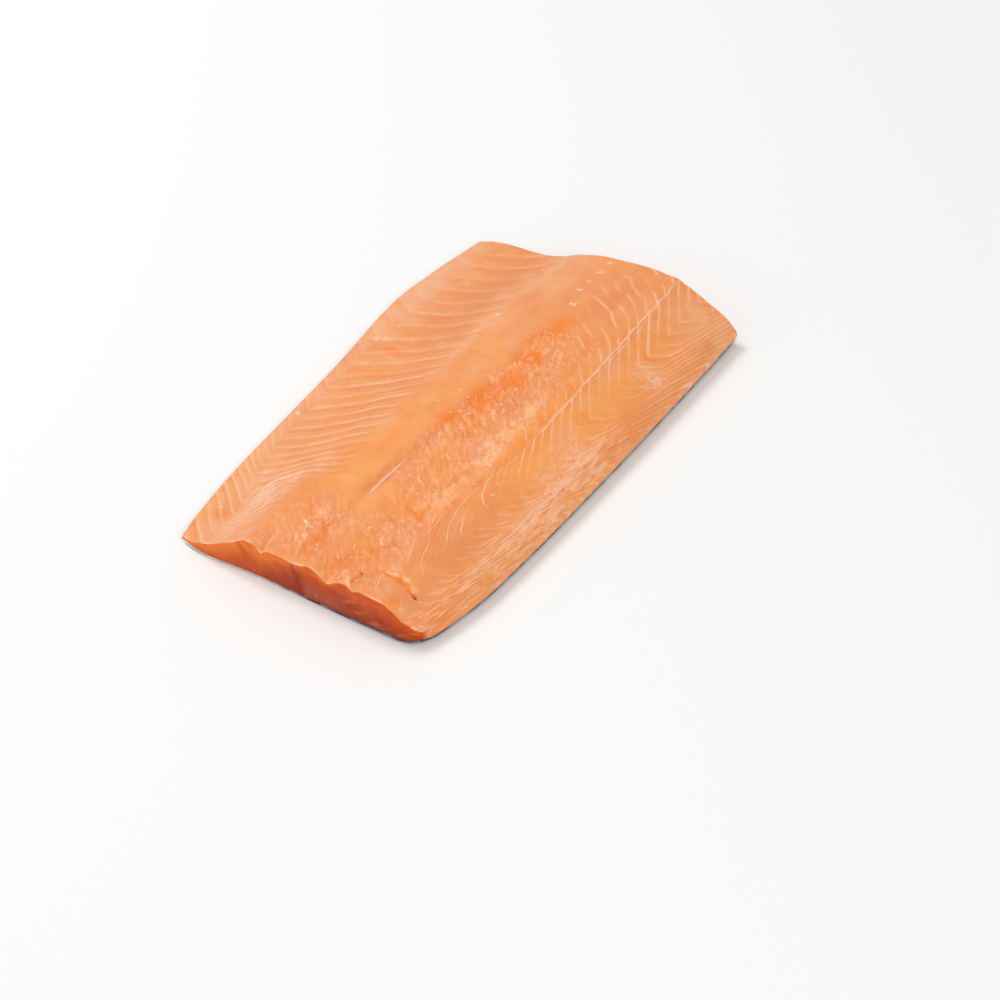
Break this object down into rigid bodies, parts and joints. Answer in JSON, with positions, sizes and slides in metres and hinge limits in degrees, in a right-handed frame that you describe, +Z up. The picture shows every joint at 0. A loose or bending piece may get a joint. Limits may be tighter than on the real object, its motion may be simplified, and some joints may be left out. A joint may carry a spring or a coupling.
{
  "type": "salmon loin",
  "caption": "Raw salmon loin with its skin on, lying skin down: thick back edge, thin belly edge, square cuts at both ends and pale fat lines between its flakes.",
  "frame": {"origin": "centre of the bounding box's bottom, on the surface that the piece lies on", "axes": "+X from the thin belly edge to the thick back edge, +Y from the tail-side cut to the head-side cut, +Z up from the skin to the cut flesh"},
  "size_m": [0.1712, 0.2808, 0.0292],
  "materials": {
    "flesh": "moist, translucent orange-pink flesh with pale fat lines",
    "skin": "wet silver-grey skin with fine scales, darker towards the back"
  },
  "bodies": {
    "root": {"flesh": "flesh", "skin": "skin"}
  },
  "joints": []
}
